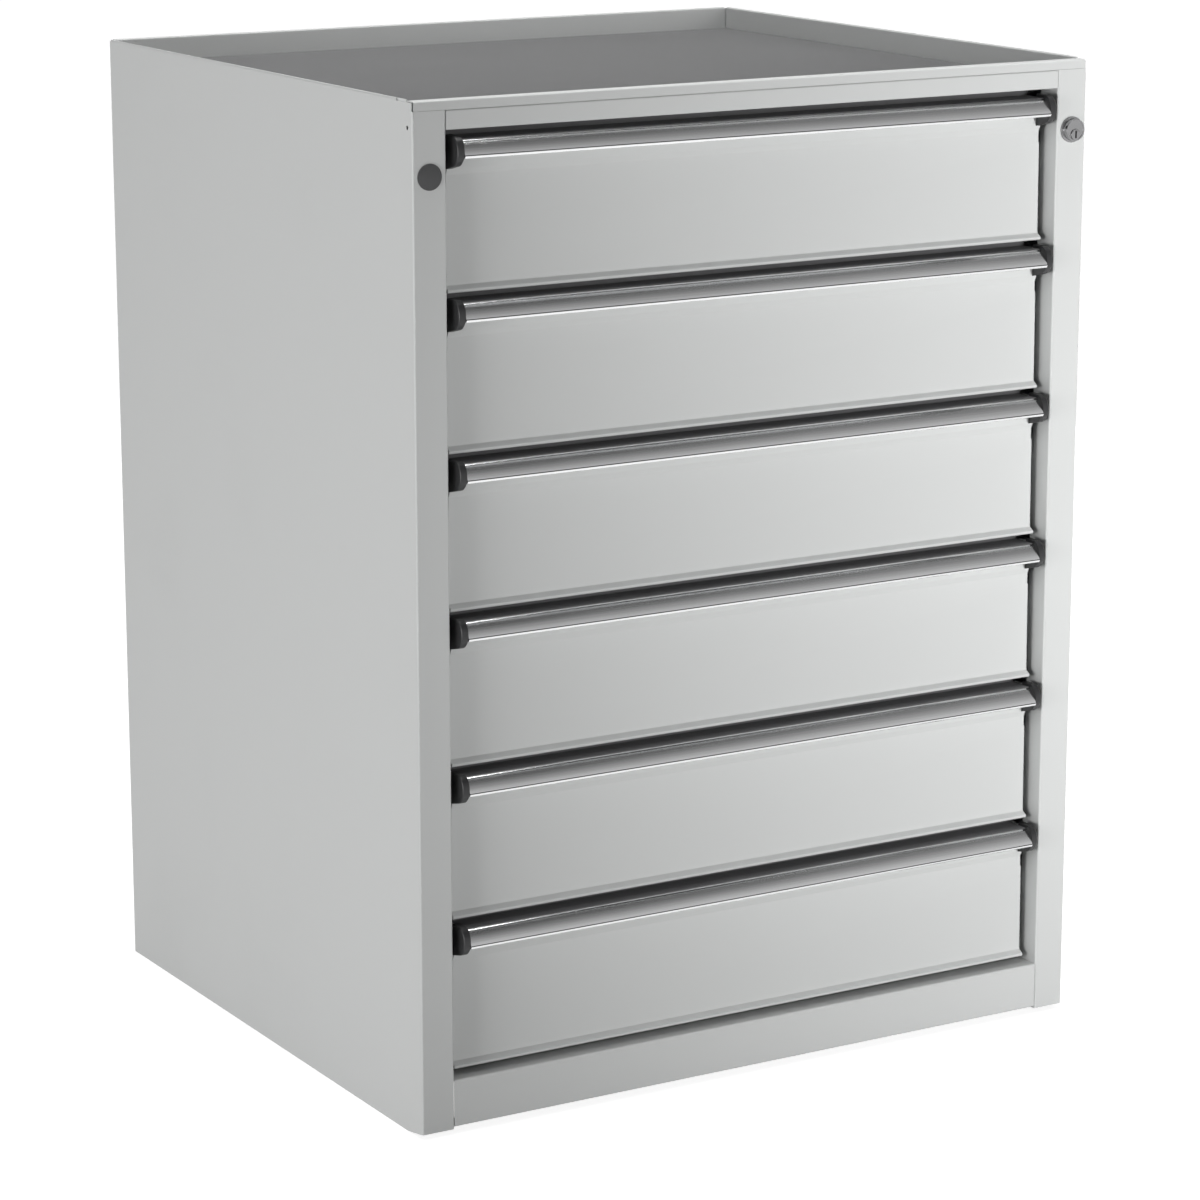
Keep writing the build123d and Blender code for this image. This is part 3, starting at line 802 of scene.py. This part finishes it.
class CABINET_OT_painted_shade_strips(bpy.types.Operator):
    """Model the dark strip that closes the gap behind a handle, and copy it to every drawer; its dark
    grey is painted shade for the shadowed gap above the handle
    """

    bl_idname = "cabinet.dust_strips"
    bl_label = "Shade strips"

    def execute(self, context):
        sizes = context.scene.cabinet_sizes
        grip_low, grip_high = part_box("drawer_1_handle")
        wall = sizes.strip_wall
        edge = wall / 3
        front = grip_low.y + sizes.face_setback + sizes.head_round
        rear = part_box("drawer_1_front")[1].y
        foot = grip_high.z + sizes.strip_lift
        head = foot + sizes.strip_upstand
        outline = rounded([
            ((front, foot), 0),
            ((front, foot + wall), edge),
            ((rear - wall, foot + wall), wall),
            ((rear - wall, head), edge),
            ((rear, head), edge),
            ((rear, foot), edge),
        ], steps=3)
        strip = bar_of("painted_shade", outline, -grip_high.x, grip_high.x)
        smooth(MOULDED_CREASE)
        # Painted shade: this dark grey on the strip stands in for the shadow in the gap above the
        # handle.
        plastic = coated(
            "painted_shade_grey", context.scene.cabinet_finishes.strip, roughness=0.55,
            grain_scale=900.0, grain_depth=0.03 * MM, clouding=0.12, marks=0.08,
        )
        fit_to_drawers(strip, "painted_shade_strip", "cap_plastic", plastic)
        return {"FINISHED"}


class CABINET_OT_drawer_fronts(bpy.types.Operator):
    """Round the side bends of the drawer fronts"""

    bl_idname = "cabinet.drawer_fronts"
    bl_label = "Drawer fronts"

    def execute(self, context):
        sizes = context.scene.cabinet_sizes
        node = frame["nodes"]["drawer_1_front"]
        low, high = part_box("drawer_1_front")
        deselect()
        front = bpy.data.objects.new("sheet", node.data.copy())
        context.scene.collection.objects.link(front)
        context.view_layer.objects.active = front
        front.select_set(True)
        edit_all()
        bpy.ops.mesh.remove_doubles(threshold=MERGE)
        bpy.ops.mesh.dissolve_limited(angle_limit=COPLANAR)

        def upright_at_side(edge):
            start, end = (vertex.co for vertex in edge.verts)
            return (
                min(abs(start.x), abs(end.x)) > high.x - NEAR
                and abs(start.y - end.y) < NEAR
                and abs(start.z - end.z) > sizes.flange_least
                and start.y < (low.y + high.y) / 2
            )

        pick("EDGE", upright_at_side)
        bpy.ops.mesh.bevel(offset=sizes.side_bend, segments=5, affect="EDGES")
        to_object_mode()
        smooth(SHEET_CREASE)
        fit_to_drawers(front, "sheet", "drawer_paint", node.data.materials[0], "front")
        return {"FINISHED"}


class CABINET_OT_lock(bpy.types.Operator):
    """Model the lock's chrome housing and its turning cylinder with the keyway"""

    bl_idname = "cabinet.lock"
    bl_label = "Central lock"

    def execute(self, context):
        sizes = context.scene.cabinet_sizes
        chrome = metal(
            "lock_chrome", context.scene.cabinet_finishes.chrome, roughness=0.11, line_scale=900.0,
            line_depth=0.01 * MM, marks=0.03, turn=(0, QUARTER_TURN / 2, 0),
        )
        body_box, barrel_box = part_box("lock_body"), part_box("lock_barrel")
        low, high = body_box
        barrel_low, barrel_high = barrel_box
        barrel_centre = middle_of(barrel_box)
        barrel_radius = (barrel_high.x - barrel_low.x) / 2
        flange, nose = sizes.lock_flange / 2, sizes.lock_nose / 2
        flange_front = FRONT_Y - sizes.lock_flange_reach
        housing = round_bar("lock_housing", flange, middle_of(body_box), flange_front, FRONT_Y)
        edit_all()
        pull_end(-1, flange - nose, flange_front - low.y)
        pull_end(-1, sizes.lock_rim, -sizes.lock_dish)
        pull_end(1, flange - nose, high.y - FRONT_Y)
        to_object_mode()
        soften(housing, sizes.lock_edge)
        bore_radius = barrel_radius + sizes.barrel_play
        cut(housing, round_bar("bore", bore_radius, barrel_centre, low.y - OVERRUN, high.y + OVERRUN))
        smooth(MOULDED_CREASE)
        fit(housing, "cabinet", "lock_chrome", chrome, "lock_body")

        barrel = round_bar("lock_cylinder", barrel_radius, barrel_centre, barrel_low.y, barrel_high.y)
        soften(barrel, sizes.barrel_edge)
        deselect()
        face = (barrel_centre[0], barrel_low.y, barrel_centre[1])
        bpy.ops.mesh.primitive_cube_add(size=1, location=face)
        keyway = named("keyway")
        keyway.scale = (sizes.keyway_width, 2 * sizes.keyway_depth, sizes.keyway_height)
        settle_place()
        soften(keyway, sizes.keyway_edge)
        cut(barrel, keyway)
        smooth(MOULDED_CREASE)
        fit(barrel, "lock_barrel", "lock_chrome", chrome, "lock_barrel")
        return {"FINISHED"}


class CABINET_OT_blanking_plug(bpy.types.Operator):
    """Model the low domed plug in the unused lock hole"""

    bl_idname = "cabinet.blanking_plug"
    bl_label = "Blanking plug"

    def execute(self, context):
        sizes = context.scene.cabinet_sizes
        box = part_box("blanking_plug")
        low, high = box
        radius = (high.x - low.x) / 2
        hole_radius = sizes.lock_nose / 2
        skirt = high.y - FRONT_Y
        plug = round_bar("hole_plug", radius, middle_of(box), low.y + sizes.plug_setback, FRONT_Y)
        edit_all()
        pull_end(-1, sizes.plug_rim, sizes.plug_rim_rise)
        pull_end(-1, sizes.plug_crown, sizes.plug_crown_rise)
        pull_end(1, radius - hole_radius, skirt)
        pull_end(1, sizes.plug_wall, -skirt)
        to_object_mode()
        soften(plug, sizes.plug_edge, sharpness=BEVEL_BLUNT)
        smooth(DOMED_CREASE)
        plastic = coated(
            "plug_grey_moulding", context.scene.cabinet_finishes.plug, roughness=0.42,
            grain_scale=1500.0, grain_depth=0.03 * MM, clouding=0.12, marks=0.08,
        )
        fit(plug, "cabinet", "plug_plastic", plastic, "blanking_plug")
        return {"FINISHED"}


def shown_to_eye(tree):
    """Masks of the rays that show the studio itself: straight on or mirrored, and straight on only."""
    rays = tree.nodes.new("ShaderNodeLightPath").outputs
    mirrored = math_node(tree, "ADD", rays["Is Glossy Ray"], rays["Is Transmission Ray"], clamp=True)
    return math_node(tree, "ADD", rays["Is Camera Ray"], mirrored, clamp=True), rays["Is Camera Ray"]


def studio_walls(strength, fill):
    """Soft walls, light low down and to the right and dark at the ceiling, on a white backdrop."""
    world = bpy.data.worlds.new("studio_walls")
    bpy.context.scene.world = world
    world.use_nodes = True
    tree = world.node_tree
    direction = tree.nodes.new("ShaderNodeTexCoord").outputs["Generated"]
    parts = add_node(tree, "ShaderNodeSeparateXYZ", {0: direction}).outputs
    ramp = add_node(tree, "ShaderNodeValToRGB", {0: parts["Z"]})
    # How high the direction points, and the wall's grey there.
    stops = ((0.10, 0.75), (0.30, 0.62), (0.70, 0.25), (0.82, 0.12), (0.87, 0.05))
    elements = ramp.color_ramp.elements
    elements[0].position, first = stops[0]
    elements[0].color = solid_colour((first,) * 3)
    elements[1].position, last = stops[-1]
    elements[1].color = solid_colour((last,) * 3)
    for position, grey in stops[1:-1]:
        elements.new(position).color = solid_colour((grey,) * 3)
    right_wall = remap(tree, parts["X"], (0.46, 0.62), (0.0, 0.11))
    level = math_node(tree, "MULTIPLY", math_node(tree, "ADD", ramp.outputs[0], right_wall), strength)
    shown, straight = shown_to_eye(tree)
    level = math_node(tree, "MULTIPLY", level, remap(tree, shown, (0.0, 1.0), (fill, 1.0)))
    walls = tree.nodes["Background"]
    walls.inputs["Color"].default_value = WHITE
    tree.links.new(math_node(tree, "MAXIMUM", level, straight), walls.inputs["Strength"])


def pale_floor(rgb, glow):
    """A matt pale floor that reads as white to the eye and in reflections, and keeps the shadow."""
    material, tree, shader, place = new_material("studio_floor")
    peel = place_group(tree, orange_peel_group, "orange_peel", {
        "Vector": place, "Colour": solid_colour(rgb), "Grain Scale": 300.0, "Clouding": 0.01,
        "Roughness": 0.8,
    })
    tree.links.new(peel["Colour"], shader.inputs["Base Color"])
    shader.inputs["Specular IOR Level"].default_value = 0.0
    shader.inputs["Emission Color"].default_value = WHITE
    shown, _ = shown_to_eye(tree)
    tree.links.new(math_node(tree, "MULTIPLY", shown, glow), shader.inputs["Emission Strength"])
    return material


def light_box(name, place, target, size, power, mirrored=True):
    """A soft rectangular lamp aimed at a point, which bright metal may mirror or not."""
    aim = (Vector(target) - Vector(place)).to_track_quat("-Z", "Y").to_euler()
    bpy.ops.object.light_add(type="AREA", location=place, rotation=aim)
    lamp = named(name)
    lamp.data.shape = "RECTANGLE"
    lamp.data.size, lamp.data.size_y = size
    lamp.data.energy = power
    lamp.visible_camera = False
    lamp.visible_glossy = mirrored
    return lamp


class CABINET_OT_studio(bpy.types.Operator):
    """Set up the pale floor, the soft lights and the camera"""

    bl_idname = "cabinet.studio"
    bl_label = "Studio"

    def execute(self, context):
        studio = context.scene.cabinet_studio
        floor_side, sun_height = 80, 4
        key_x, key_away = 0.75, 3.0
        deselect()
        bpy.ops.mesh.primitive_plane_add(size=floor_side, location=(0, 0, CAD_BOX[0].z))
        settle_place()
        floor = named("studio_floor")
        finish = pale_floor(context.scene.cabinet_finishes.floor, studio.floor_glow)
        floor.data.materials.append(finish)
        studio_walls(studio.sky_light, studio.fill_light)
        bpy.ops.object.light_add(type="SUN", location=(0, 0, sun_height), rotation=(0, 0, 0))
        top = named("top_light")
        top.data.energy = studio.top_light
        top.data.angle = studio.top_softness
        key = light_box(
            "front_box", place=(key_x, FRONT_Y - key_away, 0.66), target=(key_x, FRONT_Y, 0.62),
            size=(0.35, 1.3), power=studio.key_light, mirrored=False,
        )
        key.data.spread = studio.key_spread
        light_box(
            "left_box", place=(-3.6, -1.0, 0.6), target=(-0.38, 0.0, 0.5),
            size=(1.8, 1.1), power=studio.side_light,
        )
        light_box(
            "rear_box", place=(2.2, 2.4, 0.5), target=(0.2, 0.2, 0.5),
            size=(1.6, 0.9), power=studio.rear_light, mirrored=False,
        )
        light_box(
            "over_box", place=(0.0, -0.05, 2.35), target=(0.0, 0.0, 0.95),
            size=(0.8, 0.5), power=studio.over_light,
        )
        rotation = (QUARTER_TURN - studio.camera_dip, 0, -studio.camera_pan)
        bpy.ops.object.camera_add(location=studio.camera_place, rotation=rotation)
        camera = named("photo_camera")
        camera.data.lens = studio.camera_lens
        camera.data.sensor_width = studio.camera_sensor
        context.scene.camera = camera
        context.scene.view_settings.view_transform = "Standard"
        return {"FINISHED"}


STEPS = (
    CABINET_OT_paint_steel,
    CABINET_OT_ribbed_mat,
    CABINET_OT_handles,
    CABINET_OT_end_caps,
    CABINET_OT_painted_shade_strips,
    CABINET_OT_drawer_fronts,
    CABINET_OT_lock,
    CABINET_OT_blanking_plug,
    CABINET_OT_studio,
)


class CABINET_PT_pieces(bpy.types.Panel):
    """The cabinet's pieces, in the order in which they are made"""

    bl_label = "Drawer cabinet"
    bl_space_type = "VIEW_3D"
    bl_region_type = "UI"
    bl_category = "Cabinet"

    def draw(self, context):
        for step in STEPS:
            self.layout.operator(step.bl_idname)


SETTINGS = {
    "cabinet_sizes": CabinetSizes,
    "cabinet_finishes": CabinetFinishes,
    "cabinet_studio": CabinetStudio,
}
CLASSES = (*SETTINGS.values(), *STEPS, CABINET_PT_pieces)


def register():
    for made in CLASSES:
        bpy.utils.register_class(made)
    for name, group in SETTINGS.items():
        setattr(bpy.types.Scene, name, PointerProperty(type=group))


def unregister():
    for name in SETTINGS:
        delattr(bpy.types.Scene, name)
    for made in reversed(CLASSES):
        bpy.utils.unregister_class(made)


def main():
    register()
    bpy.ops.cabinet.paint_steel()
    bpy.ops.cabinet.ribbed_mat()
    bpy.ops.cabinet.handles()
    bpy.ops.cabinet.end_caps()
    bpy.ops.cabinet.dust_strips()
    bpy.ops.cabinet.drawer_fronts()
    bpy.ops.cabinet.lock()
    bpy.ops.cabinet.blanking_plug()
    bpy.ops.cabinet.studio()


if __name__ == "__main__":
    main()
